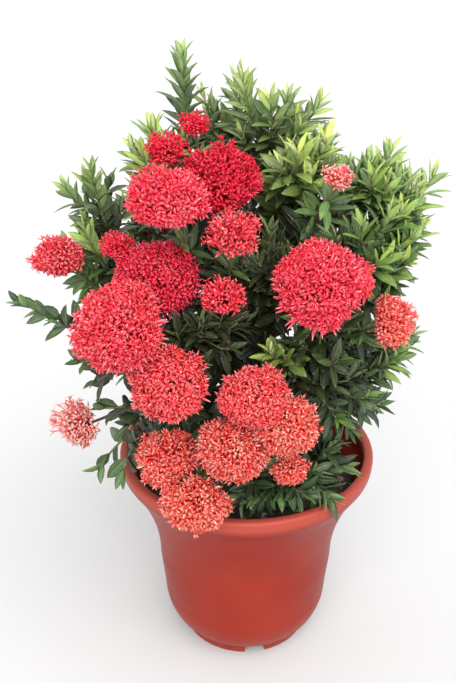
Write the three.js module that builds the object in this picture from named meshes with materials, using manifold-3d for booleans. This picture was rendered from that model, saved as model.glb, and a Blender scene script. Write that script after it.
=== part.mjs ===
// Potted dwarf ixora. Millimetres, +Z up, the origin in the middle of the pot's underside.
// The pot stands on Z = 0 and the shrub's best side faces -Y.
import * as THREE from 'three';
import { mergeVertices } from 'three/addons/utils/BufferGeometryUtils.js';
import Module from 'manifold-3d';

const wasm = await Module();
wasm.setup();

// ---- driving dimensions ----------------------------------------------------------------

const CLEARANCE = 0.3; // between pieces that touch on the real plant

// pot
const POT_HEIGHT = 212;
const RIM_RADIUS = 125;
const LIP_WIDTH = 10;
const LIP_HEIGHT = 15;
const FLARE_START = [88, 90]; // radius and height where the straight wall ends
const FLARE_END_RADIUS = 122;
const CORNER_TOP = [84, 52]; // radius and height where the rounded bottom corner ends
const CORNER_LOW = [55, 7]; // where its quarter ellipse would end, inside the foot ring
const FOOT_RADIUS = 64;
const FOOT_HEIGHT = 9;
const FOOT_WIDTH = 8;
const WALL = 3.5;
const FLOOR_TOP = 12;
const PAD_RADIUS = 30; // flat middle of the underside, level with the foot ring
const RECESS_DEPTH = 5;
const NOTCH_WIDTH = 20;
const NOTCH_HEIGHT = 8;
const NOTCH_ANGLE = -80; // degrees; the other three follow at right angles
const DRAIN_RADIUS = 5;
const POT_SEGMENTS = 36;

// soil
const SOIL_EDGE = 180; // height of the soil at the pot's wall
const SOIL_MOUND = 188; // and in the middle
const SOCKET_FLOOR = 160; // the stems' lower ends, inside the soil

// plant
const STEM_RADIUS = 4.5;
const TWIG_RADIUS = 1.6;
const STALK_RADIUS = 1.8;
const LEAF_THICKNESS = 1.8; // along the midrib
const LEAF_PROPORTION = 0.38; // width to length
const PAIR_SPACING = 30; // along a twig, from one pair of leaves to the next
const FIRST_SIDE_BRANCH = 0.36; // share of a stem's length
const LAST_SIDE_BRANCH = 0.97;
const FORKS_AT = [0.42, 0.3, 0.55]; // shares of a leading twig's length

// A head: place of its middle, radius, and how far its red goes towards salmon, 0 to 1.
const head = (name, x, y, z, radius, salmon = 0) => (
  { kind: 'head', name, at: [x, y, z], radius, salmon }
);

// A shoot: the tips of its leading twig and of its forks, leaf length, upward pull of the
// tips, and how young its leaves are, 0 to 1.
const shoot = (name, tips, leaf, lift = 0.7, young = 0.3) => (
  { kind: 'shoot', name, tips, leaf, lift, young }
);

// Each stem: name, place in the soil, tip, and what grows from it from the lowest up.
const STEMS = [
  ['front_left', [-20, -18], [-78, -72, 345], [
    head('over_rim', -40, -135, 241, 28, 1),
    head('low_left', -74, -110, 272, 28, 0.8),
    head('low_centre', -9, -136, 299, 28, 0.8),
    shoot('low_left', [[-121, -96, 312], [-103, -80, 285]], 24, 0.1, 0),
    head('centre_dome', -61, -140, 364, 31, 0.4),
    head('left_big', -103, -138, 410, 37, 0.2),
    shoot('front_middle', [[-36, -120, 400], [-8, -112, 404]], 27, 0.4, 0.1),
  ]],
  ['front_right', [20, -20], [62, -72, 350], [
    shoot('inside_rim', [
      [30, -92, 224], [78, -70, 236], [4, -88, 222], [64, -88, 230],
    ], 28, 0.2, 0.1),
    head('low_small', 38, -118, 268, 15, 1),
    head('low_right', 38, -137, 323, 25, 0.9),
    head('right_of_centre', 6, -148, 360, 28, 0.5),
    shoot('front_dark', [[72, -112, 350], [94, -86, 318]], 28, 0.3, 0),
    shoot('front_bright', [[20, -124, 384], [34, -118, 374]], 26, 0.5, 0.9),
    head('right_big', 56, -124, 440, 38, 0.1),
  ]],
  ['left', [-30, 4], [-112, -6, 385], [
    shoot('left_drooping', [[-131, -70, 238], [-109, -92, 246]], 28, -0.9, 0),
    head('far_left_low', -150, -58, 271, 24, 0.7),
    shoot('left_dark', [[-144, -76, 346], [-133, -60, 319]], 26, -0.1, 0),
    shoot('left_twig', [[-200, -34, 382], [-166, -52, 371]], 26, 0.2, 0.1),
    head('far_left', -153, -75, 440, 23, 0.3),
    shoot('left_middle', [[-132, -70, 462], [-142, -22, 436]], 30),
    shoot('left_upper', [[-130, -38, 504], [-140, 0, 480]], 28, 0.8, 0.5),
    head('left_small', -108, -70, 460, 12, 0.2),
  ]],
  ['right', [32, 2], [104, -8, 395], [
    shoot('right_low', [[98, -66, 300], [114, -24, 308]], 29, 0.3, 0),
    shoot('right_lower', [[124, -82, 356], [128, -40, 344]], 30, 0.7, 0.2),
    head('far_right', 118, -104, 404, 21, 0.7),
    shoot('right_dark', [[112, -80, 444], [90, -86, 474]], 30, 0.6, 0.3),
    shoot('right_outer', [[146, -16, 460], [134, -50, 442]], 27, 0.9, 0.4),
    shoot('right_upper', [
      [124, -24, 496], [146, -4, 470], [100, -26, 506], [88, -30, 494],
    ], 30, 0.9, 0.5),
  ]],
  ['back', [4, 32], [-6, 92, 375], [
    shoot('back_low_left', [[-84, 96, 264], [-112, 48, 296]], 30, 0.3, 0.1),
    shoot('back_low_right', [[84, 96, 264], [112, 52, 296]], 30, 0.3, 0.1),
    shoot('back_low', [[-6, 134, 286], [34, 128, 324]], 30, 0.3, 0.2),
    head('back_right', 84, 116, 352, 32, 0.3),
    head('back_left', -92, 108, 372, 33, 0.2),
    shoot('back_right', [[128, 62, 384], [98, 88, 428]], 30, 0.5, 0.2),
    shoot('back_left', [[-138, 54, 388], [-106, 82, 446]], 30, 0.5, 0.2),
    shoot('back_middle', [[-6, 128, 400], [-44, 116, 436]], 30, 0.6, 0.3),
  ]],
  ['centre_left', [-8, 6], [-48, -14, 472], [
    head('middle', -72, -86, 426, 34, 0),
    head('middle_right', -22, -120, 438, 21, 0.2),
    head('under_top', -9, -124, 485, 19, 0.2),
    head('top_left_dome', -60, -124, 505, 29, 0.1),
    head('top_back', -64, -82, 538, 15, 0.1),
    shoot('top_left', [[-84, -60, 524], [-78, -26, 534]], 28, 0.8, 0.9),
    head('top_centre', -20, -78, 506, 31, 0.1),
    head('top_small', -42, -66, 553, 11, 0),
    shoot('top_tall', [[-56, 0, 590]], 27, 1, 0.5),
  ]],
  ['centre_right', [10, 10], [34, 16, 462], [
    shoot('middle_upper', [[16, -104, 478], [32, -90, 450]], 28, 0.5, 0.4),
    head('back_upper', 12, 110, 452, 27, 0.1),
    head('pink_bud', 69, -98, 521, 10, 0.5),
    shoot('top_fourth', [[60, -44, 530], [38, -60, 526]], 30, 0.9, 0.9),
    shoot('back_upper', [[50, 62, 506], [-32, 58, 518]], 29, 0.8, 0.3),
    shoot('top_right', [
      [-6, -22, 576], [38, -18, 550], [64, 6, 522], [-20, 16, 552],
    ], 28, 1, 0.6),
  ]],
];

// ---- small geometry tools --------------------------------------------------------------

const UP = new THREE.Vector3(0, 0, 1);
const vec = ([x, y, z]) => new THREE.Vector3(x, y, z);

// A closed geometry becomes a solid once its doubled seam vertices are merged.
function solidOf(geometry, matrix = new THREE.Matrix4()) {
  const bare = geometry.clone();
  bare.deleteAttribute('normal');
  bare.deleteAttribute('uv');
  bare.applyMatrix4(matrix);
  const merged = mergeVertices(bare, 1e-4);
  return new wasm.Manifold(new wasm.Mesh({
    numProp: 3,
    vertProperties: merged.attributes.position.array,
    triVerts: new Uint32Array(merged.index.array),
  }));
}

function geometryOf(solid) {
  const mesh = solid.getMesh();
  const geometry = new THREE.BufferGeometry();
  geometry.setAttribute('position', new THREE.BufferAttribute(mesh.vertProperties, 3));
  geometry.setIndex(new THREE.BufferAttribute(mesh.triVerts, 1));
  geometry.computeVertexNormals();
  return geometry;
}

// A round rod along a curve, as a prism with a few sides.
function rod(curve, radius, sides, steps) {
  const section = new THREE.Shape();
  for (let i = 0; i < sides; i += 1) {
    const a = (2 * Math.PI * i) / sides;
    const [x, y] = [radius * Math.cos(a), radius * Math.sin(a)];
    if (i === 0) section.moveTo(x, y);
    else section.lineTo(x, y);
  }
  section.closePath();
  return solidOf(new THREE.ExtrudeGeometry(section, {
    steps, extrudePath: curve, bevelEnabled: false,
  }));
}

// Lathe profiles are [radius, height] pairs; three.js turns them about Y, so Y becomes Z.
function lathe(profile, segments) {
  const points = profile.map(([r, z]) => new THREE.Vector2(r, z));
  const upright = new THREE.Matrix4().makeRotationX(Math.PI / 2);
  return solidOf(new THREE.LatheGeometry(points, segments), upright);
}

// A frame whose Z is the given direction, at the given place.
function frameAlong(direction, place) {
  const turn = new THREE.Quaternion().setFromUnitVectors(UP, direction.clone().normalize());
  return new THREE.Matrix4().compose(place, turn, new THREE.Vector3(1, 1, 1));
}

// ---- pot and soil ----------------------------------------------------------------------

// Radius of the outer wall at a height above the foot ring.
function outerRadius(z) {
  const [cornerRadius, cornerTop] = CORNER_TOP;
  const [flareRadius, flareStart] = FLARE_START;
  if (z < cornerTop) {
    const [inner, low] = CORNER_LOW;
    const drop = (cornerTop - z) / (cornerTop - low);
    return inner + (cornerRadius - inner) * Math.sqrt(Math.max(0, 1 - drop * drop));
  }
  if (z < flareStart) {
    const share = (z - cornerTop) / (flareStart - cornerTop);
    return cornerRadius + (flareRadius - cornerRadius) * share;
  }
  const share = (z - flareStart) / (POT_HEIGHT - LIP_HEIGHT - flareStart);
  return flareRadius + (FLARE_END_RADIUS - flareRadius) * share * share;
}

const WALL_HEIGHTS = [10, 14, 22, 34, 52, 90, 125, 155, 180, 196];
const INNER_HEIGHTS = WALL_HEIGHTS.filter((z) => z > FLOOR_TOP + 5);

function makePot() {
  const recessIn = PAD_RADIUS + 3;
  const recessOut = FOOT_RADIUS - FOOT_WIDTH - 3;
  const lipTop = POT_HEIGHT;
  const lipIn = RIM_RADIUS - LIP_WIDTH;
  const lipBottom = POT_HEIGHT - LIP_HEIGHT;
  const profile = [
    [0, 0], [PAD_RADIUS, 0], [recessIn, RECESS_DEPTH], [recessOut, RECESS_DEPTH],
    [FOOT_RADIUS - FOOT_WIDTH, 0], [FOOT_RADIUS, 0], [FOOT_RADIUS, FOOT_HEIGHT],
    ...WALL_HEIGHTS.map((z) => [outerRadius(z), z]),
    [RIM_RADIUS - 0.8, lipBottom + 2], [RIM_RADIUS, lipBottom + 6],
    [RIM_RADIUS - 1.2, lipTop - 2], [RIM_RADIUS - 4.5, lipTop],
    [lipIn + 2.5, lipTop], [lipIn + 0.3, lipTop - 2.2], [lipIn + 0.2, lipTop - 6],
    ...INNER_HEIGHTS.toReversed().map((z) => [outerRadius(z) - WALL, z]),
    [FOOT_RADIUS - 4, FLOOR_TOP], [0, FLOOR_TOP],
  ];
  let pot = lathe(profile, POT_SEGMENTS);
  const notch = new THREE.BoxGeometry(FOOT_WIDTH + 12, NOTCH_WIDTH, 2 * NOTCH_HEIGHT);
  const drain = new THREE.CylinderGeometry(DRAIN_RADIUS, DRAIN_RADIUS, 3 * FLOOR_TOP, 12);
  drain.rotateX(Math.PI / 2);
  for (let k = 0; k < 4; k += 1) {
    const angle = THREE.MathUtils.degToRad(NOTCH_ANGLE + 90 * k);
    const turned = new THREE.Matrix4().makeRotationZ(angle);
    const outward = new THREE.Matrix4().makeTranslation(FOOT_RADIUS + 0.5, 0, 0);
    pot = pot.subtract(solidOf(notch, turned.clone().multiply(outward)));
    const between = new THREE.Matrix4().makeRotationZ(angle + Math.PI / 4);
    const inward = new THREE.Matrix4().makeTranslation((recessIn + recessOut) / 2, 0, 0);
    pot = pot.subtract(solidOf(drain, between.multiply(inward)));
  }
  return pot;
}

function makeSoil() {
  const fill = INNER_HEIGHTS.filter((z) => z <= SOIL_EDGE);
  const profile = [
    [0, FLOOR_TOP + CLEARANCE], [FOOT_RADIUS - 4 - CLEARANCE, FLOOR_TOP + CLEARANCE],
    ...fill.map((z) => [outerRadius(z) - WALL - CLEARANCE - 0.1, z + CLEARANCE]),
    [86, SOIL_EDGE + 2], [48, SOIL_MOUND - 1], [0, SOIL_MOUND],
  ];
  return lathe(profile, POT_SEGMENTS);
}

// ---- plant -----------------------------------------------------------------------------

function stemCurve([bx, by], [tx, ty, tz]) {
  const rise = tz - SOCKET_FLOOR;
  return new THREE.CubicBezierCurve3(
    new THREE.Vector3(bx, by, SOCKET_FLOOR),
    new THREE.Vector3(bx * 1.25, by * 1.25, SOCKET_FLOOR + 0.45 * rise),
    new THREE.Vector3(bx + 0.55 * (tx - bx), by + 0.55 * (ty - by), SOCKET_FLOOR + 0.75 * rise),
    new THREE.Vector3(tx, ty, tz),
  );
}

// A twig leaves its carrier half along it and half towards its tip, and bends so that its
// end points along `endDirection`.
function twigCurve(carrier, share, tip, endDirection) {
  const start = carrier.getPoint(share);
  const reach = tip.clone().sub(start);
  const length = reach.length();
  const leave = carrier.getTangent(share).multiplyScalar(0.45).add(reach.divideScalar(length));
  return new THREE.CubicBezierCurve3(
    start,
    start.clone().addScaledVector(leave.normalize(), 0.35 * length),
    tip.clone().addScaledVector(endDirection, -0.3 * length),
    tip,
  );
}

// A flower head faces away from the shrub's middle and a little upwards.
const SHRUB_MIDDLE = new THREE.Vector3(-8, 0, 330);
function headDirection(at) {
  const out = vec(at).sub(SHRUB_MIDDLE).normalize();
  out.z += 0.35;
  return out.normalize();
}

const DOME_PROFILE = [
  [0, -0.42], [0.55, -0.36], [0.9, -0.12], [1, 0.16], [0.86, 0.52], [0.5, 0.85], [0, 1],
];

// The umbel's outline: a dome on a shallow bowl, dimpled where florets leave gaps.
function dome(at, radius) {
  const turned = new THREE.LatheGeometry(
    DOME_PROFILE.map(([r, z]) => new THREE.Vector2(r * radius, z * radius)), 9);
  turned.rotateX(Math.PI / 2);
  const place = turned.attributes.position;
  for (let i = 0; i < place.count; i += 1) {
    const p = new THREE.Vector3().fromBufferAttribute(place, i);
    const wave = Math.sin(p.x * 0.9 + p.z * 0.5) * Math.cos(p.y * 0.8 - p.z * 0.3);
    p.multiplyScalar(1 + 0.05 * wave);
    place.setXYZ(i, p.x, p.y, p.z);
  }
  return solidOf(turned, frameAlong(headDirection(at), vec(at)));
}

// A leaf blade is a flat lozenge, pointed at both ends and thickest along its midrib;
// `grow` swells it all round for the clearance test.
function leafBlade(base, along, across, length, grow) {
  const blade = new THREE.OctahedronGeometry(1, 0);
  blade.scale(
    (length * LEAF_PROPORTION) / 2 + 2 * grow, length / 2 + 3 * grow, LEAF_THICKNESS / 2 + 2 * grow,
  );
  blade.translate(0, length / 2, 0);
  const face = new THREE.Vector3().crossVectors(across, along);
  const frame = new THREE.Matrix4().makeBasis(across, along, face).setPosition(base);
  return solidOf(blade, frame);
}

// Opposite leaves in pairs, each pair a quarter turn from the last one, longest in the
// middle of the twig and closing up towards its tip. Yields the place of every leaf.
function* leafPlaces(curve, leaf, phase) {
  const length = curve.getLength();
  const pairs = Math.max(3, Math.round((0.8 * length) / PAIR_SPACING));
  for (let k = 0; k < pairs; k += 1) {
    const share = 0.24 + (0.75 * k) / (pairs - 1);
    const axis = curve.getTangent(share);
    const side = new THREE.Vector3().crossVectors(axis, new THREE.Vector3(0.3, 0.9, 0.2));
    side.normalize().applyAxisAngle(axis, phase + k * (Math.PI / 2));
    const open = THREE.MathUtils.degToRad(k === pairs - 1 ? 26 : 62 - 22 * share);
    const size = leaf * (k === pairs - 1 ? 0.8 : 1.2 - 0.35 * Math.abs(share - 0.55));
    for (const hand of [1, -1]) {
      const out = side.clone().multiplyScalar(hand);
      const along = axis.clone().multiplyScalar(Math.cos(open));
      along.addScaledVector(out, Math.sin(open)).normalize();
      yield { base: curve.getPoint(share), axis, along, size };
    }
  }
}

// ---- assembly --------------------------------------------------------------------------

const pieces = []; // { name, solid, colour, roughness }
const taken = []; // solids that a leaf of another node must stay clear of
const pot = makePot();
let soil = makeSoil();
taken.push({ owner: 'pot', solid: pot }, { owner: 'potting_soil', solid: soil });

const BARK = 0x5b4636;
const mix = (a, b, share) => new THREE.Color(a).lerp(new THREE.Color(b), share);

const twigs = [];
for (const [stemName, base, tip, growth] of STEMS) {
  const curve = stemCurve(base, tip);
  const stem = rod(curve, STEM_RADIUS, 6, 10);
  const wide = rod(curve, STEM_RADIUS + 1.2 * CLEARANCE, 6, 10);
  soil = soil.subtract(wide.translate([0, 0, -CLEARANCE]));
  const stemNode = `main_stem_${stemName}`;
  taken.push({ owner: stemNode, solid: stem });
  pieces.push({ name: stemNode, solid: stem, colour: new THREE.Color(BARK), roughness: 0.9 });
  growth.forEach((item, order) => {
    const rank = growth.length > 1 ? order / (growth.length - 1) : 1;
    const share = FIRST_SIDE_BRANCH + (LAST_SIDE_BRANCH - FIRST_SIDE_BRANCH) * rank;
    if (item.kind === 'head') {
      const stalk = twigCurve(curve, share, vec(item.at), headDirection(item.at));
      const umbel = dome(item.at, item.radius).add(rod(stalk, STALK_RADIUS, 4, 4));
      const solid = umbel.subtract(wide);
      const name = `flower_head_${item.name}`;
      const colour = mix(0xe8283f, 0xf4694f, item.salmon);
      taken.push({ owner: name, solid });
      pieces.push({ name, solid, colour, roughness: 0.6 });
      return;
    }
    const name = `leafy_shoot_${item.name}`;
    const curves = [];
    for (const point of item.tips) {
      const carrier = curves.length ? curves[0] : curve;
      const from = curves.length ? FORKS_AT[curves.length - 1] : share;
      const reach = vec(point).sub(carrier.getPoint(from)).normalize();
      const end = reach.addScaledVector(UP, item.lift).normalize();
      curves.push(twigCurve(carrier, from, vec(point), end));
    }
    const wood = curves.map((c) => rod(c, TWIG_RADIUS, 4, 4));
    const solid = wasm.Manifold.union(wood).subtract(wide);
    taken.push({ owner: name, solid });
    twigs.push({ name, item, curves, solid });
  });
}

const boxesMeet = (a, b) => [0, 1, 2].every((i) => a.min[i] <= b.max[i] && b.min[i] <= a.max[i]);

// A leaf is free where its thickened blade meets nothing that belongs to another node.
function isFree(blade, owner) {
  const box = blade.boundingBox();
  return !taken.some((other) => other.owner !== owner
    && boxesMeet(box, other.solid.boundingBox())
    && !blade.intersect(other.solid).isEmpty());
}

// Where a leaf would meet a neighbour it turns aside about its twig, as leaves do for light.
const ASIDE = [0, 0.35, -0.35, 0.7, -0.7];
for (const { name, item, curves, solid } of twigs) {
  const parts = [solid];
  curves.forEach((curve, order) => {
    for (const { base, axis, along, size } of leafPlaces(curve, item.leaf, 0.8 * order)) {
      for (const turn of ASIDE) {
        const reach = along.clone().applyAxisAngle(axis, turn);
        const across = new THREE.Vector3().crossVectors(reach, axis).normalize();
        if (isFree(leafBlade(base, reach, across, size, CLEARANCE), name)) {
          const blade = leafBlade(base, reach, across, size, 0);
          taken.push({ owner: name, solid: blade });
          parts.push(blade);
          break;
        }
      }
    }
  });
  const colour = mix(0x2f5a2a, 0x7fa23c, item.young);
  pieces.push({ name, solid: wasm.Manifold.union(parts), colour, roughness: 0.5 });
}

pieces.unshift(
  { name: 'pot', solid: pot, colour: new THREE.Color(0xb4523f), roughness: 0.42 },
  { name: 'potting_soil', solid: soil, colour: new THREE.Color(0x2b2019), roughness: 1 },
);

const ixora = new THREE.Group();
for (const { name, solid, colour, roughness } of pieces) {
  const material = new THREE.MeshStandardMaterial({ color: colour, roughness, metalness: 0 });
  const mesh = new THREE.Mesh(geometryOf(solid), material);
  mesh.name = name;
  ixora.add(mesh);
}

export default ixora;
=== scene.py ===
"""A potted dwarf ixora: moulded pot, soil, woody stems, leafy shoots and heads of florets.

The layout is in millimetres in the row's frame, and every piece is scaled to metres when
its mesh is made. Each shape is a numpy array of rings, skinned by one function.
"""

import functools
import math

import bpy
import numpy as np
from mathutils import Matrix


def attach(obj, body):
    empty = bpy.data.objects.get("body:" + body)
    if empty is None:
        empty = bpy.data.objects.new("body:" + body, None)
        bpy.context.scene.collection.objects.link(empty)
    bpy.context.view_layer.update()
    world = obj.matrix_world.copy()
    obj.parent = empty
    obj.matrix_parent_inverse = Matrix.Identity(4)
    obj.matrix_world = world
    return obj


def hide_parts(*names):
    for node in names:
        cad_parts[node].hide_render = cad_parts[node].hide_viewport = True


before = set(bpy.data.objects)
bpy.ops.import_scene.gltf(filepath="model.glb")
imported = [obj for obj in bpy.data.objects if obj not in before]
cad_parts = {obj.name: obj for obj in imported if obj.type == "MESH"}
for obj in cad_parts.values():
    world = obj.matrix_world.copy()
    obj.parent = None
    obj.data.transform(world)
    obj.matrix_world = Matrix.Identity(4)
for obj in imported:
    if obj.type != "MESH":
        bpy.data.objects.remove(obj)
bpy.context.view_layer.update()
rng = np.random.default_rng(20)

# ---- driving dimensions, mm ----

MM = 0.001  # in metres

POT_HEIGHT = 212
RIM_RADIUS = 125
LIP_WIDTH = 10
LIP_HEIGHT = 15
LIP_LOW = POT_HEIGHT - LIP_HEIGHT
FLARE_START = (88, 90)  # radius and height where the straight wall ends
FLARE_END_RADIUS = 122
CORNER_TOP = (84, 52)  # radius and height where the rounded bottom corner ends
CORNER_LOW = (55, 7)  # where its quarter ellipse would end, inside the foot ring
FOOT_RADIUS = 64
FOOT_HEIGHT = 9
FOOT_WIDTH = 8
FOOT_INSIDE = FOOT_RADIUS - FOOT_WIDTH
WALL = 3.5
FLOOR_TOP = 12
FLOOR_CORNER = FLOOR_TOP + 5  # height where the floor's rounding meets the wall
PAD_RADIUS = 30
RECESS_DEPTH = 5
RECESS_SLOPE = 3  # width of the recess's sloping sides
NOTCH_WIDTH = 20
NOTCH_HEIGHT = 8
NOTCH_ANGLE = -80  # degrees; the other three follow at right angles
NOTCH_SLOPE = 0.012  # radians that a notch's side takes
SOIL_EDGE = 180
SOIL_MOUND = 188
SOIL_GAP = 0.8  # to the pot's wall
SOIL_BOTTOM = FLOOR_TOP + 0.4
SOCKET_FLOOR = 160  # the stems' lower ends, inside the soil
AXIS_DISC = 2  # radius of the disc that closes a turned shape at its axis

STEM_RADII = (5.0, 3.0)  # at the soil and at the tip
TWIG_RADII = (1.7, 0.9)
SPIKE_RADII = (0.9, 0.6)
STALK_RADII = (1.8, 1.2)
KNOT_HEIGHT = 0.5  # a leaf scar's swelling on a stem
KNOT_SPACING = 18
KNOT_WIDTH_SQUARED = 0.004  # with the spacing as the unit
FIRST_SIDE_BRANCH = 0.36  # share of a stem's length
LAST_SIDE_BRANCH = 0.97
FORKS_AT = (0.42, 0.3, 0.55)  # shares of a leading twig's length
SPIKE_LENGTH = 40  # a side twig's

LEAF_SPACING = 6.6  # from one pair of leaves to the next
SPIKE_SPACING = 4.8
LEAF_PROPORTION = 0.29  # width to length
LEAF_THICKNESS = 0.45  # at the midrib
TWIG_OPENING = (56, 14)  # leaves' angle to a twig, degrees, and how much full lift takes off
SPIKE_OPENING = (50, 12)
STEM_LEAVES = dict(leaf=43, young=0.1, spacing=3.6, wide=66, phase=0.4, broad=1.4, wild=1.0)
STALK_LEAVES = dict(leaf=31, young=0.1, spacing=6, wide=62, first=0.15, closed=50, wild=0.4)

PETAL_LENGTH = 6.0
PETAL_WIDTH = 2.3
PETALS = 4
FLORETS_PER_MM2 = 0.08
FLORET_DOME = math.radians(117)  # from a head's axis to its lowest florets
BUD_DOME = math.radians(114)
LUMP_DOME = math.radians(110)
LUMPS = 8
LUMP_WIDTH = 0.46  # radians
INNER_SHARE = 0.36  # of a head's florets that are further in
HALF_OPEN_SHARE = 0.22
DENT_WIDTH = 20  # from the middle of a head's dent to its edge
GOLDEN_ANGLE = np.pi * (3 - math.sqrt(5))


def head(name, x, y, z, radius, salmon=0.0, loose=0.0, pale=0.0, flat=0.3, head_shade=0.0,
         leafy=0.75, dent=None):
    """A flower head: the place of its middle, its radius, and, each from 0 to 1, how far its
    red goes towards salmon, how loose it is, how faded its florets are, how flat it is
    underneath, how much painted shade darkens its red and how far up its stalk leaves grow;
    then the direction in which a neighbour has dented it, if one has."""
    return dict(kind="head", name=name, at=np.array([x, y, z], float), radius=radius,
                salmon=salmon, loose=loose, pale=pale, flat=flat, head_shade=head_shade, leafy=leafy,
                dent=dent)


def shoot(name, tips, leaf, lift=0.7, young=0.3, spikes=(0.3, 0.45, 0.62),
          gap=LEAF_SPACING, shade=0.0, broad=1.0):
    """A shoot: the tips of its leading twig and forks, its leaves' length, the upward pull on
    its tips, how young its leaves are, 0 to 1, the shares of each twig's length where a pair
    of side spikes grows, the gap between leaf pairs, how much painted shade darkens its
    leaves, 0 to 1, and how many times broader than usual they are."""
    return dict(kind="shoot", name=name, tips=np.array(tips, float), leaf=leaf, lift=lift,
                young=young, spikes=spikes, gap=gap, shade=shade, broad=broad)


# Each stem: name, place in the soil, tip, and what grows from it from the lowest up.
STEMS = [("front_left", (-20, -18), (-78, -72, 345), [
    head("over_rim", -43, -135, 244, 28, 1, 0.6, flat=0.1, leafy=0.5),
    head("low_left", -64, -112, 272, 28, 0.85, 0.35, flat=0, dent=(0.55, -0.55, -0.6)),
    head("low_centre", -10, -140, 301, 29, 0.8, flat=0.1),
    shoot("low_left", [(-121, -96, 312), (-103, -80, 285)], 25, 0.1, 0, (), 12, 0.6, 1.5),
    head("centre_dome", -61, -140, 361, 30, 0.4, flat=0),
    head("left_big", -98, -138, 410, 35, 0.2, flat=0),
    shoot("front_middle", [(-36, -120, 400), (-8, -112, 404)], 27, 0.4, 0, shade=0.4),
]), ("front_right", (20, -20), (62, -72, 350), [
    shoot("inside_rim", [
        (30, -90, 224), (70, -55, 243), (4, -86, 222), (60, -76, 234),
    ], 30, 0.2, 0, (0.5, 0.75), 8, 0.4, 1.2),
    head("low_small", 36, -120, 268, 16, 1, 0.5),
    head("low_right", 32, -142, 325, 26, 0.9, 0.2, flat=0.1),
    head("right_of_centre", 6, -142, 350, 27, 0.5, flat=0.2),
    shoot("front_dark", [(72, -112, 350), (94, -86, 318), (60, -102, 388)], 28, 0.3, 0,
          shade=0.4),
    shoot("front_bright", [(18, -124, 384), (30, -118, 376)], 24, 0.6, 0.65, (), 7, 0, 1.3),
    head("right_big", 57, -124, 437, 37, 0.1, flat=0, dent=(0.82, -0.35, -0.45)),
]), ("left", (-30, 4), (-112, -6, 385), [
    shoot("left_drooping", [(-131, -70, 238), (-109, -92, 246)], 30, -0.9, 0, (), 11, 0.6, 1.5),
    head("far_left_low", -150, -58, 271, 24, 0.7, 1, 0.55, leafy=0.3),
    shoot("left_dark", [(-144, -76, 346), (-133, -60, 319)], 26, -0.1, 0, (), 13, 0.6, 1.5),
    shoot("left_twig", [(-200, -34, 382), (-166, -52, 371)], 27, 0.3, 0, (), 11, 0.35, 1.5),
    head("far_left", -154, -75, 440, 21, 0.3, 0.4, 0.1, 0.6, 0.3),
    shoot("left_middle", [(-132, -70, 462), (-142, -22, 436)], 29, spikes=(0.5,), gap=8,
          broad=1.2),
    shoot("left_upper", [(-130, -38, 504), (-140, 0, 480)], 26, 0.8, 0.3, (0.5,), 8, 0.2, 1.3),
    head("left_small", -106, -72, 451, 13, 0.1, 0.6, head_shade=0.25),
]), ("right", (32, 2), (104, -8, 395), [
    shoot("right_low", [(98, -66, 300), (114, -24, 308)], 29, 0.3, 0, (0.6,), 9, 0.3, 1.2),
    shoot("right_lower", [(124, -82, 356), (128, -40, 344)], 30, 0.7, 0.2, (0.5,), 8, 0.1, 1.15),
    head("far_right", 113, -104, 402, 20, 0.8, 0.3, 0.05, 0, dent=(-1, 0, 0.1)),
    shoot("right_dark", [(112, -80, 444), (90, -86, 474)], 30, 0.6, 0.3, shade=0.1),
    shoot("right_outer", [(138, -16, 462), (125, -50, 444)], 27, 0.9, 0.4),
    shoot("right_upper", [
        (122, -24, 496), (139, -4, 474), (100, -26, 506), (88, -30, 494),
    ], 30, 0.9, 0.5),
]), ("back", (4, 32), (-6, 92, 375), [
    shoot("back_low_left", [(-84, 96, 264), (-112, 48, 296)], 30, 0.3, 0.1),
    shoot("back_low_right", [(84, 96, 264), (112, 52, 296)], 30, 0.3, 0.1),
    shoot("back_low", [(-6, 134, 286), (34, 128, 324)], 30, 0.3, 0.2),
    head("back_right", 84, 116, 352, 32, 0.3),
    head("back_left", -92, 108, 372, 33, 0.2),
    shoot("back_right", [(128, 62, 384), (98, 88, 428)], 30, 0.5, 0.2),
    shoot("back_left", [(-138, 54, 388), (-106, 82, 446)], 30, 0.5, 0.2),
    shoot("back_middle", [(-6, 128, 400), (-44, 116, 436)], 30, 0.6, 0.3),
]), ("centre_left", (-8, 6), (-48, -14, 472), [
    head("middle", -72, -86, 426, 35, 0, flat=0.1, head_shade=0.2),
    head("middle_right", -19, -120, 429, 17, 0.2, 0.8, head_shade=0.15),
    head("under_top", -12, -122, 482, 19, 0.2, 1, 0.1, 0, 0.25),
    head("top_left_dome", -60, -124, 505, 29, 0.1, flat=0.75),
    head("top_back", -64, -82, 534, 15, 0.2, 0.8, head_shade=0.6),
    shoot("top_left", [(-84, -60, 524), (-78, -26, 534)], 28, 0.8, 0.6, (0.4, 0.65)),
    head("top_centre", -24, -78, 506, 31, 0, 0.35, head_shade=0.6),
    head("top_small", -42, -66, 550, 11, 0, 0.8, head_shade=0.55),
    shoot("top_tall", [(-56, 0, 590)], 26, 1, 0.2, (0.25,), 3.9, 0.1, 1.15),
]), ("centre_right", (10, 10), (34, 16, 462), [
    shoot("middle_upper", [(16, -104, 478), (32, -90, 450), (46, -88, 468)], 28, 0.5,
          0.1, shade=0.35),
    head("back_upper", 12, 110, 452, 27, 0.1),
    head("pink_bud", 67, -98, 519, 11, 0.5, 0.8, 0.5, leafy=0.95),
    shoot("top_fourth", [(60, -44, 530), (38, -60, 526)], 31, 0.9, 0.9, broad=1.2),
    shoot("back_upper", [
        (50, 62, 506), (-32, 58, 518), (8, 34, 468), (48, 60, 446),
    ], 29, 0.8, 0.3),
    shoot("top_right", [
        (-6, -22, 576), (38, -18, 540), (68, 4, 494), (-20, 16, 526),
    ], 28, 1.0, 0.6, (0.3, 0.44)),
])]

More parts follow.
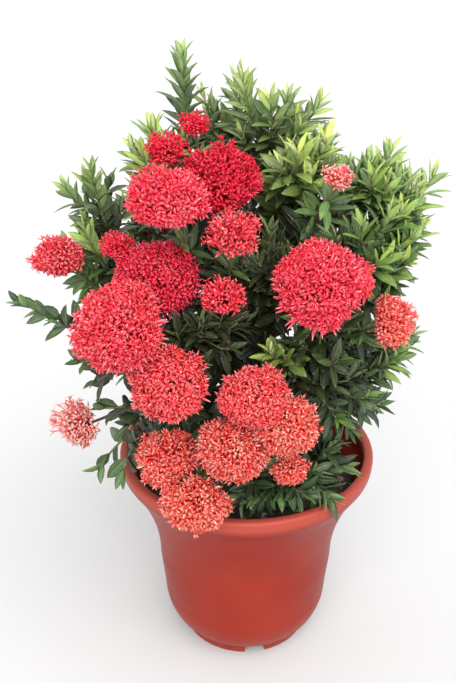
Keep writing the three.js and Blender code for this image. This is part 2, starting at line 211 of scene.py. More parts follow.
UP = np.array([0.0, 0.0, 1.0])
SIDEWAYS = np.array([0.3, 0.9, 0.2])  # along no twig, so that it gives each one a side
HEAD_TILT = 0.35  # how much a head faces upwards
HEAD_STRETCH = np.array([1.05, 1.0, 0.98])  # a head is a little wider than it is high
SHRUB_MIDDLE = np.array([-8.0, 0.0, 330.0])
CROWN_MIDDLE = np.array([-8.0, -5.0, 385.0])  # the crown is nearly an ellipsoid
CROWN_RADII = np.array([165.0, 150.0, 200.0])


# ---- numpy tools ----

def unit(v):
    """Vectors scaled to length one along their last axis."""
    return v / np.maximum(np.linalg.norm(v, axis=-1, keepdims=True), 1e-9)


def turned(v, axis, angle):
    """Vectors turned about unit axes by angles, after Rodrigues: the part along the axis
    stays, and the rest goes round it."""
    c, s = np.cos(angle)[..., None], np.sin(angle)[..., None]
    along = np.sum(v * axis, axis=-1, keepdims=True)
    return v * c + np.cross(axis, v) * s + axis * along * (1 - c)


def point(curve, s):
    """Points of a cubic Bezier curve, its four control points weighted by Bernstein's
    polynomials of the shares s."""
    s = np.atleast_1d(s)[:, None]
    a, b, c, d = curve
    return (1 - s) ** 3 * a + 3 * s * (1 - s) ** 2 * b + 3 * s * s * (1 - s) * c + s ** 3 * d


def tangent(curve, s):
    """Unit tangents of a cubic Bezier curve: its derivative, scaled to length one."""
    s = np.atleast_1d(s)[:, None]
    a, b, c, d = curve
    return unit((1 - s) ** 2 * (b - a) + 2 * s * (1 - s) * (c - b) + s * s * (d - c))


def skin(rings):
    """Closed skins over stacks of rings, an array of (stack, ring, corner, 3).

    Neighbouring rings are joined by quads and each stack's two end rings are capped. Faces
    look outwards where corners run across a ring's top when seen with the stack going away.
    """
    stacks, rows, corners = rings.shape[:3]
    index = np.arange(stacks * rows * corners).reshape(stacks, rows, corners)
    ahead = np.roll(index, -1, axis=2)
    quads = np.stack([index[:, :-1], ahead[:, :-1], ahead[:, 1:], index[:, 1:]], axis=-1)
    caps = np.concatenate([index[:, 0, ::-1], index[:, -1]])
    return rings.reshape(-1, 3), [quads.reshape(-1, 4), caps]


def around(count):
    """Angles evenly spaced round a circle."""
    return np.arange(count) * (2 * np.pi / count)


def circle_ways(first, second, angle):
    """Directions at angles from the first of two unit vectors towards the second."""
    return np.cos(angle)[..., None] * first + np.sin(angle)[..., None] * second


def tube(curve, radii, steps, corners, knot_height=0.0):
    """The skin of one tube along a Bezier curve: circles across it whose radius goes from
    the first of `radii` to the second, plus a bell curve at each leaf scar."""
    s = np.linspace(0, 1, steps + 1)
    middle, along = point(curve, s), tangent(curve, s)
    least = np.argmin(np.abs(curve[3] - curve[0]))
    side = unit(np.cross(along, np.eye(3)[least]))
    other = np.cross(along, side)
    walked = np.concatenate([[0], np.cumsum(np.linalg.norm(np.diff(middle, axis=0), axis=1))])
    from_knot = (walked / KNOT_SPACING + 0.5) % 1 - 0.5
    swell = knot_height * np.exp(-from_knot ** 2 / KNOT_WIDTH_SQUARED)
    radius = radii[0] + (radii[1] - radii[0]) * s + swell
    rings = middle + circle_ways(side, other, around(corners)[:, None]) * radius[:, None]
    return skin(rings.transpose(1, 0, 2)[None])


def joined(parts):
    """Several (points, [face arrays]) skins as one."""
    points, faces, start = [], [], 0
    for part_points, part_faces in parts:
        points.append(part_points)
        faces += [face + start for face in part_faces]
        start += len(part_points)
    return np.concatenate(points), faces


def in_scene(name, data):
    """A new object in the scene."""
    made = bpy.data.objects.new(name, data)
    bpy.context.scene.collection.objects.link(made)
    return made


def make_piece(name, points, faces, material, slot, replaced=(), values=None, uv=None):
    """A smooth-shaded object from points in millimetres and arrays of faces of any corner
    counts. `values` are named numbers for each point, and `uv` a pair for each corner."""
    mesh = bpy.data.meshes.new(name)
    corners = np.concatenate([face.ravel() for face in faces])
    counts = np.concatenate([np.full(len(face), face.shape[1]) for face in faces])
    mesh.vertices.add(len(points))
    mesh.vertices.foreach_set("co", (points * MM).astype(np.float32).ravel())
    mesh.loops.add(len(corners))
    mesh.loops.foreach_set("vertex_index", corners.astype(np.int32))
    mesh.polygons.add(len(counts))
    mesh.polygons.foreach_set("loop_start", (np.cumsum(counts) - counts).astype(np.int32))
    mesh.polygons.foreach_set("use_smooth", np.ones(len(counts), dtype=bool))
    mesh.update(calc_edges=True)
    for key, numbers in (values or {}).items():
        layer = mesh.attributes.new(key, "FLOAT", "POINT")
        layer.data.foreach_set("value", numbers.astype(np.float32))
    if uv is not None:
        mesh.uv_layers.new(name="leaf_uv").data.foreach_set("uv", uv.astype(np.float32).ravel())
    mesh.materials.append(material)
    piece = in_scene(name, mesh)
    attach(piece, "root")
    if replaced:
        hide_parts(*replaced)


# ---- materials ----

def linear(hex_colour):
    """An sRGB hex colour as the linear numbers that shaders take."""
    parts = [int(hex_colour[i:i + 2], 16) / 255 for i in (1, 3, 5)]
    return [c / 12.92 if c <= 0.04045 else ((c + 0.055) / 1.055) ** 2.4 for c in parts] + [1]


def node(tree, kind, stops=(), **values):
    """Adds a node with its settings and links.

    A name in small letters is a setting, and settings come first. Any other is an input,
    with _ for a space, and _0 and _1 pick one by its number. An input takes a number, a hex
    colour, another node's output, or a node, which stands for its first output. `stops`
    are a colour ramp's (place, hex colour) pairs.
    """
    made = tree.nodes.new("ShaderNode" + kind)
    for name, value in values.items():
        if name.islower():
            setattr(made, name, value)
            continue
        if name[0] == "_":
            socket = made.inputs[int(name[1:])]
        else:
            socket = next(socket for socket in made.inputs
                          if socket.enabled and socket.name == name.replace("_", " "))
        if isinstance(value, bpy.types.Node):
            value = next(output for output in value.outputs if output.enabled)
        if isinstance(value, bpy.types.NodeSocket):
            tree.links.new(value, socket)
        else:
            socket.default_value = linear(value) if isinstance(value, str) else value
    if stops:
        elements = made.color_ramp.elements
        for _ in stops[2:]:
            elements.new(0.5)
        for element, (place, colour) in zip(elements, stops):
            element.position = place
            element.color = linear(colour)
    return made


def new_material(name, look, *colours):
    """A material whose Principled shader takes the inputs that `look` gives. `look` gets the
    function that adds a node, and its colours."""
    material = bpy.data.materials.new(name)
    material.use_nodes = True
    material.node_tree.nodes.clear()
    add = functools.partial(node, material.node_tree)
    add("OutputMaterial", Surface=add("BsdfPrincipled", **look(add, *colours)))
    return material


def blobs(size):
    """The Scale of a pattern whose main blobs are about `size` mm across."""
    return 1 / (size * MM)


def polypropylene(add):
    """Injection-moulded polypropylene, terracotta-coloured: an even satin skin with faint
    clouding and a powdery bloom towards the foot. A deeper red mixed in from the flare
    upwards is painted shade under the lip, and the paler lip is a painted highlight. The
    mould's grain is drawn coarser than it is, at 1.6 mm, so that it shows."""
    place = add("TexCoord").outputs["Object"]
    height = add("SeparateXYZ", Vector=place).outputs["Z"]
    cloud = add("TexNoise", Vector=place, Scale=blobs(60), Detail=4)
    dust = add("TexNoise", Vector=place, Scale=blobs(14), Detail=6, Roughness=0.65)
    scuffs = add("TexNoise", Vector=place, Scale=blobs(9), Detail=5, Roughness=0.7)
    grain = add("TexNoise", Vector=place, Scale=blobs(1.6))
    low = add("MapRange", Value=height, From_Min=45 * MM, From_Max=0, To_Max=0.5)
    bloom = add("Math", operation="MULTIPLY", _0=low, _1=dust)
    # painted shade: from 120 mm up, the wall is mixed towards a deeper red for the shade under
    # the lip
    flare = add("MapRange", Value=height, From_Min=120 * MM, From_Max=170 * MM, To_Max=0.6)
    # painted highlight: the lip is mixed towards a paler red for the light on its rounded top
    lip = add("MapRange", Value=height, From_Min=(LIP_LOW - 2) * MM,
              From_Max=(LIP_LOW + 6) * MM, To_Max=0.6)
    colour = add("ValToRGB", [(0.35, "#782115"), (0.65, "#7f2619")], Fac=cloud)
    for amount, tone in ((bloom, "#984837"), (flare, "#82180a"), (lip, "#9e4b3e")):
        colour = add("Mix", data_type="RGBA", Factor=amount, A=colour, B=tone)
    satin = add("MapRange", Value=scuffs, From_Min=0.3, From_Max=0.7, To_Min=0.34, To_Max=0.44)
    bump = add("Bump", Height=grain, Distance=0.05 * MM, Strength=0.35)
    return dict(Base_Color=colour, Roughness=satin, IOR=1.49, Specular_IOR_Level=0.15,
                Normal=bump)


def potting_mix(add):
    """Moist peat and bark potting mix: dark brown crumbs a few millimetres across, with
    paler fibres and a rare grain of perlite."""
    place = add("TexCoord").outputs["Object"]
    crumbs = add("TexVoronoi", Vector=place, Scale=blobs(4.5))
    fine = add("TexNoise", Vector=place, Scale=blobs(1.5), Detail=4, Roughness=0.7)
    peat = add("ValToRGB", [(0.0, "#1a120d"), (0.5, "#2e2018"), (0.8, "#47331f"),
                            (0.975, "#5f4a33"), (0.99, "#cfc6b4")],
               Fac=add("SeparateColor", Color=crumbs.outputs["Color"]))
    fibres = add("ValToRGB", [(0.3, "#120c09"), (0.7, "#4a3828")], Fac=fine)
    colour = add("Mix", data_type="RGBA", Factor=0.5, A=peat, B=fibres)
    height = add("Math", operation="SUBTRACT", _0=fine, _1=crumbs.outputs["Distance"])
    bump = add("Bump", Height=height, Distance=2 * MM, Strength=0.9)
    return dict(Base_Color=colour, Roughness=0.92, Normal=bump)


def bark(add, dark, pale, green=None):
    """Young ixora bark: matt, grey-brown and finely cracked along the stem, dark in the
    cracks and pale between them. Twigs and stalks pass `green`, which shows through in
    patches where their bark is thin."""
    place = add("TexCoord").outputs["Object"]
    stretched = add("Mapping", Vector=place, Scale=(1, 1, 0.25))
    cracks = add("TexNoise", Vector=stretched, Scale=blobs(2.2), Detail=5, Roughness=0.65)
    colour = add("ValToRGB", [(0.35, dark), (0.62, pale)], Fac=cracks)
    if green:
        thin = add("TexNoise", Vector=place, Scale=blobs(30), Detail=3)
        patches = add("ValToRGB", [(0.4, "#000000"), (0.6, "#ffffff")], Fac=thin)
        colour = add("Mix", data_type="RGBA", Factor=patches, A=colour, B=green)
    bump = add("Bump", Height=cracks, Distance=0.5 * MM, Strength=0.8)
    return dict(Base_Color=colour, Roughness=0.78, Normal=bump)


def leaf_tissue(add):
    """Ixora leaf: leathery, with a waxy skin that shines on top and is dull and paler
    underneath. Old leaves are dark green and young ones yellow-green. Leaves inside the
    shrub are darkened towards brown by painted shade. The midrib is a pale line and the side
    veins are slight furrows, nine pairs to a leaf, that slant forwards from it."""
    place = add("TexCoord").outputs["Object"]
    on_leaf = add("SeparateXYZ", Vector=add("UVMap", uv_map="leaf_uv"))
    along, across = on_leaf.outputs["X"], on_leaf.outputs["Y"]
    youth, tint, inside = [add("Attribute", attribute_name=name).outputs["Fac"]
                           for name in ("youth", "tint", "inside")]
    under = add("Math", operation="GREATER_THAN", _0=across, _1=UNDERSIDE - 0.5)
    from_edge = add("Math", operation="FRACT", _0=across)
    from_middle = add("Math", operation="SUBTRACT", _0=from_edge, _1=0.5)
    from_rib = add("Math", operation="ABSOLUTE", _0=from_middle)
    blotches = add("TexNoise", Vector=place, Scale=blobs(7), Detail=3)
    even = add("Math", operation="SUBTRACT", _0=blotches, _1=0.5)
    mottle = add("Math", operation="MULTIPLY", _0=even, _1=0.35)
    tinted = add("Math", operation="ADD", _0=youth, _1=tint)
    age = add("Math", operation="ADD", use_clamp=True, _0=tinted, _1=mottle)
    colour = add("ValToRGB", [(0.0, "#243a22"), (0.2, "#4a6a36"), (0.45, "#829e4a"),
                              (0.75, "#a4b557"), (1.0, "#bfcc6a")], Fac=age)
    rib = add("MapRange", Value=from_rib, From_Min=0.01, From_Max=0.05, To_Min=0.22, To_Max=0)
    below = add("ValToRGB", [(0.0, "#5f7a50"), (0.5, "#93aa6c"), (1.0, "#bccb8c")], Fac=age)
    # painted shade: the inside value mixes a leaf towards dark brown far into the crown and low
    # on its twig
    shaded = add("Math", operation="MULTIPLY", _0=inside, _1=0.75)
    for amount, tone in ((rib, "#c3cf94"), (under, below), (shaded, "#2c2616")):
        colour = add("Mix", data_type="RGBA", Factor=amount, A=colour, B=tone)
    pairs = add("Math", operation="MULTIPLY", _0=along, _1=9.0)
    forwards = add("Math", operation="MULTIPLY", _0=from_rib, _1=5.0)
    slanted = add("Math", operation="SUBTRACT", _0=pairs, _1=forwards)
    turns = add("Math", operation="MULTIPLY", _0=slanted, _1=2 * math.pi)
    furrows = add("Math", operation="SINE", _0=turns)
    pores = add("TexNoise", Vector=place, Scale=blobs(2.5))
    height = add("Math", operation="ADD", _0=furrows, _1=pores)
    bump = add("Bump", Height=height, Distance=0.18 * MM, Strength=0.5)
    dull = add("MapRange", Value=under, To_Min=0.33, To_Max=0.62)
    return dict(Base_Color=colour, Roughness=dull, IOR=1.45, Normal=bump)


def petal_tissue(add):
    """Ixora petals: thin, matt and coral red. Towards each tip they are paler and pinker, a
    painted highlight, and a darker red down the tube and inside the head is painted shade.
    Older heads are salmon, and faded ones pale."""
    place = add("TexCoord").outputs["Object"]
    tip, salmon, depth_shade, tint, pale = [
        add("Attribute", attribute_name=name).outputs["Fac"]
        for name in ("tip", "salmon", "depth_shade", "tint", "pale")]
    # painted highlight: the colour grows paler and pinker towards each petal's and bud's tip
    reach = add("Math", operation="ADD", use_clamp=True, _0=tip, _1=tint)
    coral = add("ValToRGB", [(0.0, "#fa2440"), (0.4, "#ff4058"), (0.8, "#ff5c70"),
                             (1.0, "#ff8c98")], Fac=reach)
    older = add("ValToRGB", [(0.0, "#fc4c3e"), (0.4, "#ff7260"), (0.8, "#ff9888"),
                             (1.0, "#ffc6b0")], Fac=reach)
    colour = add("Mix", data_type="RGBA", Factor=salmon, A=coral, B=older)
    most = add("Math", operation="ADD", use_clamp=True, _0=reach, _1=0.25)
    faded = add("Math", operation="MULTIPLY", _0=pale, _1=most)
    colour = add("Mix", data_type="RGBA", Factor=faded, A=colour, B="#fbe2d8")
    streaks = add("ValToRGB", [(0.3, "#ececec"), (0.7, "#ffffff")],
                  Fac=add("TexNoise", Vector=place, Scale=blobs(3)))
    colour = add("Mix", data_type="RGBA", blend_type="MULTIPLY", Factor=1.0, A=colour,
                 B=streaks)
    # painted shade: a darker red down the tubes, at the florets' feet and inside the head
    colour = add("Mix", data_type="RGBA", Factor=depth_shade, A=colour, B="#c81830")
    return dict(Base_Color=colour, Roughness=0.6, IOR=1.35, Specular_IOR_Level=0.15)


def emulsion(add):
    """Matt emulsion on a studio floor: an even pale grey without gloss."""
    return dict(Base_Color="#b0b0b0", Roughness=0.9)


UNDERSIDE = 2  # what a leaf's underside adds to v, so that the leaf material can tell it

POT_PLASTIC = new_material("moulded_polypropylene_terracotta", polypropylene)
SOIL = new_material("potting_mix", potting_mix)
STEM_BARK = new_material("ixora_stem_bark", bark, "#3a2c20", "#7d6a54")
TWIG_BARK = new_material("ixora_twig_bark", bark, "#43352a", "#80694f", "#5c6b35")
STALK_SKIN = new_material("ixora_flower_stalk", bark, "#4a2c1e", "#6a4230", "#55602f")
LEAF = new_material("ixora_leaf", leaf_tissue)
PETAL = new_material("ixora_petal", petal_tissue)


# ---- pot and soil ----

def outer_radius(z):
    """Radius of the pot's outer wall at heights above its foot ring: a quarter ellipse, a
    straight wall, then a flare that grows with the square of the height."""
    corner_radius, corner_top = CORNER_TOP
    corner_inside, corner_low = CORNER_LOW
    flare_radius, flare_low = FLARE_START
    drop = np.clip((corner_top - z) / (corner_top - corner_low), 0, 1)
    corner = corner_inside + (corner_radius - corner_inside) * np.sqrt(1 - drop ** 2)
    share = np.clip((z - corner_top) / (flare_low - corner_top), 0, 1)
    straight = corner_radius + (flare_radius - corner_radius) * share
    rise = np.clip((z - flare_low) / (LIP_LOW - flare_low), 0, None)
    flare = (FLARE_END_RADIUS - flare_radius) * rise ** 2
    return np.where(z < corner_top, corner, straight + flare)


def rounded(corners, cut, steps):
    """A line through (radius, height) corners with each inner one rounded: points of the
    quadratic curve between the places `cut` mm before and after it."""
    corners = np.array(corners, float)
    before = corners[1:-1] + unit(corners[:-2] - corners[1:-1]) * cut
    after = corners[1:-1] + unit(corners[2:] - corners[1:-1]) * cut
    s = np.linspace(0, 1, steps + 1)[None, :, None]
    turns = ((1 - s) ** 2 * before[:, None] + 2 * s * (1 - s) * corners[1:-1, None]
             + s ** 2 * after[:, None])
    return np.concatenate([corners[:1], turns.reshape(-1, 2), corners[-1:]])


def pot_section():
    """The pot's section as (radius, height) points, and how many of them are the foot's. It
    runs from the middle of the underside over the foot ring, up the outside, over the
    rolled lip and down the inside to the middle of the floor."""
    foot = rounded([
        (AXIS_DISC, 0), (PAD_RADIUS, 0), (PAD_RADIUS + RECESS_SLOPE, RECESS_DEPTH),
        (FOOT_INSIDE - RECESS_SLOPE, RECESS_DEPTH), (FOOT_INSIDE, 0), (FOOT_RADIUS, 0),
        (FOOT_RADIUS, FOOT_HEIGHT)], cut=0.9, steps=2)
    corner_top, flare_low = CORNER_TOP[1], FLARE_START[1]
    height = np.concatenate([
        np.linspace(FOOT_HEIGHT + 1, corner_top, 14), np.linspace(corner_top + 8, flare_low, 4),
        np.linspace(flare_low + 8, LIP_LOW - 11, 12)])
    outside = np.stack([outer_radius(height), height], 1)
    lip_inside = RIM_RADIUS - LIP_WIDTH
    lip = rounded([
        (FLARE_END_RADIUS - 3.5, LIP_LOW - 7), (RIM_RADIUS - 0.8, LIP_LOW + 2),
        (RIM_RADIUS, POT_HEIGHT), (lip_inside, POT_HEIGHT), (lip_inside + 0.4, LIP_LOW + 4),
        (lip_inside + 3.0, LIP_LOW - 1)], cut=4.4, steps=7)
    height = height[height > FLOOR_CORNER][::-1]
    inside = np.stack([outer_radius(height) - WALL, height], 1)
    floor = rounded([
        (outer_radius(FLOOR_CORNER) - WALL, FLOOR_CORNER), (FOOT_RADIUS - 4, FLOOR_TOP),
        (AXIS_DISC, FLOOR_TOP)], cut=2, steps=3)
    return np.concatenate([foot, outside, lip, inside, floor]), len(foot)


def apart(angles, others):
    """Each angle's distance round the circle to the nearest of the others."""
    return np.abs((angles[:, None] - others + np.pi) % (2 * np.pi) - np.pi).min(1)


def make_pot():
    """The pot is its section turned about the axis, with columns at the notches' edges. In a
    notch the foot ring's underside is lifted."""
    section, foot_points = pot_section()
    half = NOTCH_WIDTH / 2 / FOOT_RADIUS
    notches = np.radians(NOTCH_ANGLE) + np.arange(4) * (np.pi / 2)
    sides = np.array([-half - NOTCH_SLOPE, -half, half, half + NOTCH_SLOPE])
    edges = (notches[:, None] + sides).ravel()
    even = around(128)
    angle = np.sort(np.concatenate([even[apart(even, edges) > 0.01], edges % (2 * np.pi)]))
    in_notch = apart(angle, notches) <= half + 1e-6
    radius, height = section[:, :1], section[:, 1:]
    ring = (np.arange(len(section)) < foot_points)[:, None] & (radius > FOOT_INSIDE - 2)
    lifted = np.where(ring & in_notch, np.maximum(height, NOTCH_HEIGHT), height)
    turned_section = np.stack([radius * np.cos(angle), radius * np.sin(angle), lifted], -1)
    make_piece("moulded_pot", *skin(turned_section[None]), POT_PLASTIC, "pot_plastic", ["pot"])


def make_soil():
    """The soil's top is a low mound, which falls with the square of the radius, with crumbs,
    a sum of waves of several lengths. Its sides follow the pot's wall just inside it."""
    angle, top_rows = around(120), 42
    wall = np.array([SOIL_BOTTOM, 22, 34, 52, 90, 125, 155, SOIL_EDGE - 2])
    sides = outer_radius(wall) - WALL - SOIL_GAP
    sides[0] = FOOT_RADIUS - 6  # within the floor's rounding
    edge = sides[-1]
    top = np.linspace(edge - 1.5, AXIS_DISC, top_rows)
    radius = np.concatenate([[AXIS_DISC], sides, top])[:, None]
    height = np.concatenate([[SOIL_BOTTOM], wall, np.zeros(top_rows)])[:, None]
    x, y = radius * np.cos(angle), radius * np.sin(angle)
    mound = SOIL_EDGE + (SOIL_MOUND - SOIL_EDGE) * (1 - (radius / edge) ** 2)
    crumbs = (1.3 * np.sin(x / 5.1 + 1.3 * np.sin(y / 7.7)) * np.sin(y / 4.3)
              + 0.8 * np.sin(x / 2.3 + y / 3.1) * np.sin(y / 2.1 - x / 3.7))
    on_top = np.arange(len(radius))[:, None] > len(wall)
    z = np.where(on_top, mound + crumbs, height)
    make_piece("potting_mix", *skin(np.stack([x, y, z], -1)[None]), SOIL, "soil",
               ["potting_soil"])


# ---- leaves ----

# A leaf's rows: shares of its length, and there its width as a share of the greatest.
LEAF_ROWS = np.array([0.0, 0.12, 0.34, 0.6, 0.84, 1.0])
LEAF_HALF = np.array([0.08, 0.4, 0.96, 0.98, 0.55, 0.04])
# A row's corners: from edge to edge over the top, then the one below the midrib.
LEAF_ACROSS = np.array([-1.0, -0.5, 0.0, 0.5, 1.0, 0.0])
LEAF_BELOW = np.array([0.0, 0.0, 0.0, 0.0, 0.0, 1.0])

HEADS = [item for _, _, _, growth in STEMS for item in growth if item["kind"] == "head"]


def leaf_uvs(count):
    """A (u, v) pair for each face corner of `count` leaves, in the order of skin()'s faces.
    u is the share along the leaf and v the share across it, plus UNDERSIDE underneath."""
    rows, corners = len(LEAF_ROWS), len(LEAF_ACROSS)
    u = np.broadcast_to(LEAF_ROWS[:, None], (rows, corners))
    v = np.broadcast_to((LEAF_ACROSS + 1) / 2 * 0.98 + 0.01, (rows, corners))
    uv = np.stack([u, v], -1)
    ahead = np.roll(uv, -1, axis=1)
    strips = np.stack([uv[:-1], ahead[:-1], ahead[1:], uv[1:]], axis=2)
    strips[:, 4:, :, 1] += UNDERSIDE  # the last two strips of each row
    each_leaf = (count, 1)
    return np.concatenate([np.tile(strips.reshape(-1, 2), each_leaf),
                           np.tile(uv[0, ::-1], each_leaf), np.tile(uv[-1], each_leaf)])


def leaf_blades(leaves):
    """Skins of many leaves at once, with their UVs and values.

    A leaf's midrib is an arc from its base that turns by `curl` over its length. Across it
    the blade is a shallow V, `fold` high for each unit of half width, whose half width
    follows LEAF_HALF; the underside is one more line below the midrib.
    """
    along, face = leaves["along"], leaves["face"]
    face = unit(face - along * np.sum(face * along, axis=1, keepdims=True))
    across = np.cross(along, face)
    length, curl = leaves["length"][:, None], leaves["curl"][:, None]
    bend = curl * LEAF_ROWS
    reach, drop = length * np.sin(bend) / curl, length * (1 - np.cos(bend)) / curl
    half = 0.5 * leaves["width"][:, None] * LEAF_HALF
    spine = (leaves["base"][:, None] + along[:, None] * reach[..., None]
             - face[:, None] * drop[..., None])
    normal = face[:, None] * np.cos(bend)[..., None] + along[:, None] * np.sin(bend)[..., None]
    thickness = LEAF_THICKNESS * LEAF_BELOW * (0.3 + 0.7 * LEAF_HALF)[:, None]
    lift = leaves["fold"][:, None, None] * half[..., None] * np.abs(LEAF_ACROSS) - thickness
    aside = half[..., None] * LEAF_ACROSS
    rings = (spine[:, :, None] + across[:, None, None] * aside[..., None]
             + normal[:, :, None] * lift[..., None])
    points, faces = skin(rings)
    each = len(LEAF_ROWS) * len(LEAF_ACROSS)
    values = {name: np.repeat(leaves[name], each) for name in ("youth", "tint", "inside")}
    return points, faces, values, leaf_uvs(len(rings))


def head_direction(at):
    """A flower head faces away from the shrub's middle and a little upwards."""
    return unit(unit(at - SHRUB_MIDDLE) + HEAD_TILT * UP)


def clear_of_heads(leaves):
    """The leaves without those that poke through a flower head or stand in front of it: each
    head keeps a cylinder about its axis clear, from a third of its radius behind its middle
    to 2.2 radii in front."""
    keep = np.ones(len(leaves["length"]), dtype=bool)
    for share in (0.35, 0.7, 1.0):
        spot = leaves["base"] + leaves["along"] * (share * leaves["length"])[:, None]
        for item in HEADS:
            offset, axis = spot - item["at"], head_direction(item["at"])
            out = offset @ axis
            aside = np.linalg.norm(offset - out[:, None] * axis, axis=1)
            radius = item["radius"]
            keep &= ~((out > -0.35 * radius) & (out < 2.2 * radius) & (aside < 0.82 * radius))
    return {name: numbers[keep] for name, numbers in leaves.items()}


def leaf_pairs(curve, leaf, young, spacing, wide, first=0.3, last=1.0, phase=0.0, closed=20,
               shade=0.0, broad=1.0, wild=0.0):
    """Opposite leaves on a twig from its share `first` to `last`, each pair a quarter turn
    from the one before. They open by `wide` degrees low down and close up to `closed` at
    the tip, where the pairs are nearer together and the leaves smaller and younger. `broad`
    widens them, and `wild`, 0 to 1, scatters them and drops some.

    A leaf's `inside`, the painted shade that darkens it, grows from 0 at the crown's surface,
    with `shade` added and more away from the twig's tip, and leaves beyond the surface are
    younger.
    """
    s = np.linspace(0, 1, 40)
    length = np.linalg.norm(np.diff(point(curve, s), axis=0), axis=1).sum()
    pairs = max(4, int(round((last - first) * length / spacing)))
    share = first + (last - 0.004 - first) * np.linspace(0, 1, pairs) ** 0.85
    share = np.clip(share + rng.normal(0, 0.4 * wild * spacing / length, pairs), first, 0.996)
    base, axis = point(curve, share), tangent(curve, share)
    near_tip = np.clip((share - 0.6 * last) / (0.4 * last), 0, 1)
    quarter = np.arange(pairs) * (np.pi / 2) + rng.normal(0, 0.14 + 0.7 * wild, pairs)
    side = turned(unit(np.cross(axis, SIDEWAYS)), axis, phase + quarter)
    hands = []
    for hand in (1, -1):
        opening = wide + (closed - wide) * near_tip ** 1.5
        angle = np.radians(opening + rng.normal(0, 6 + 16 * wild, pairs))
        size = leaf * (1.05 - 0.38 * near_tip ** 2)
        size = size * rng.uniform(0.84 - 0.3 * wild, 1.12, pairs)
        width = size * LEAF_PROPORTION * (1.1 - 0.3 * near_tip)
        hands.append(dict(
            base=base,
            along=unit(axis * np.cos(angle)[:, None] + side * (hand * np.sin(angle))[:, None]),
            face=axis + 0.4 * UP + rng.normal(0, 0.14, (pairs, 3)),
            length=size,
            width=width * rng.uniform(0.85, 1.15, pairs) * broad,
            fold=0.22 + 0.3 * near_tip,
            curl=rng.uniform(0.1, 0.7, pairs) - 0.35 * near_tip,
            youth=np.clip(young * 0.45 + (0.16 + 0.5 * young) * near_tip ** 1.5, 0, 1),
            tint=rng.normal(0, 0.09, pairs),
            # painted shade: the shoot's own amount, and more away from the twig's tip
            inside=shade + 0.2 * (1 - near_tip)))
    kept = rng.uniform(0, 1, 2 * pairs) >= 0.3 * wild
    leaves = {name: np.concatenate([part[name] for part in hands])[kept] for name in hands[0]}
    leaves["curl"] = np.where(np.abs(leaves["curl"]) < 0.06, 0.06, leaves["curl"])
    middle = leaves["base"] + leaves["along"] * (0.5 * leaves["length"])[:, None]
    out = np.linalg.norm((middle - CROWN_MIDDLE) / CROWN_RADII, axis=1)
    # painted shade: more the further a leaf lies inside the crown
    leaves["inside"] = np.clip((0.95 - out) / 0.45 + leaves["inside"], 0, 1)
    outer = np.clip((out - 0.85) / 0.2, 0, 1)
    leaves["youth"] = leaves["youth"] + 0.15 * outer * min(1, 3 * young)
    return leaves


def make_leaves(name, groups, replaced=()):
    """One piece of several groups of leaves, kept clear of the flower heads."""
    leaves = {key: np.concatenate([group[key] for group in groups]) for key in groups[0]}
    points, faces, values, uv = leaf_blades(clear_of_heads(leaves))
    make_piece(name, points, faces, LEAF, "leaf", replaced, values, uv)


# ---- florets ----

# A petal's five points: its foot, its left and right edges, its keel and its tip.
PETAL_ALONG = np.array([0.0, 0.5, 0.5, 0.5, 1.0])
PETAL_ACROSS = np.array([0.0, -1.0, 1.0, 0.0, 0.0])
PETAL_BELOW = np.array([0.0, 0.0, 0.0, 0.5, 0.0])
PETAL_FACES = np.array([(0, 2, 1), (4, 1, 2), (0, 1, 3), (0, 3, 2), (1, 4, 3), (4, 2, 3)])
# Radii along a floret's tube and along a bud, and how near the paler colour of a petal's tip, a
# painted highlight.
TUBE_RADII = np.array([0.5, 0.75])
TUBE_COLOUR = np.array([0.0, 0.1])
BUD_RADII = np.array([0.5, 0.6, 0.7, 1.2, 0.15])
BUD_COLOUR = np.array([0.0, 0.1, 0.2, 0.6, 1.0])


def across_frame(axis):
    """Two unit vectors square to each axis and to each other."""
    helper = np.where(np.abs(axis[:, 2:]) < 0.8, UP, np.array([1.0, 0.0, 0.0]))
    first = unit(np.cross(axis, helper))
    return first, np.cross(axis, first)


def petals(centre, normal, spin, size, rise, recurve):
    """Points of four narrow kite-shaped petals for each floret. A petal starts at the
    floret's middle and runs outwards at the angle `rise` above the floret's face, bending
    back by `recurve` of its length. It is widest halfway, where a keel closes its section,
    and pointed at both ends."""
    first, second = across_frame(normal)
    angle = spin[:, None] + around(PETALS) + rng.normal(0, 0.13, (len(spin), PETALS))
    out = circle_ways(first[:, None], second[:, None], angle).reshape(-1, 3)
    centre, normal = np.repeat(centre, PETALS, axis=0), np.repeat(normal, PETALS, axis=0)
    size, recurve = np.repeat(size, PETALS), np.repeat(recurve, PETALS)
    rise = (np.repeat(rise, PETALS) + rng.normal(0, 0.15, len(out)))[:, None]
    ahead = out * np.cos(rise) + normal * np.sin(rise)
    up = normal * np.cos(rise) - out * np.sin(rise)
    side = np.cross(ahead, up)
    length = size * rng.uniform(0.85, 1.12, len(out)) * PETAL_LENGTH
    reach = length[:, None] * PETAL_ALONG
    drop = reach * PETAL_ALONG * recurve[:, None] + PETAL_BELOW
    half = 0.5 * PETAL_WIDTH * size[:, None] * PETAL_ACROSS
    return (centre[:, None] + ahead[:, None] * reach[..., None]
            + side[:, None] * half[..., None] - up[:, None] * drop[..., None])


def spindles(start, end, radii, corners):
    """Thin round bodies from start to end, with the given radii at evenly spaced places."""
    share = np.linspace(0, 1, len(radii))
    first, second = across_frame(unit(end - start))
    circle = circle_ways(first[:, None], second[:, None], around(corners))
    middle = start[:, None] + (end - start)[:, None] * share[:, None]
    return middle[:, :, None] + circle[:, None] * radii[:, None, None]


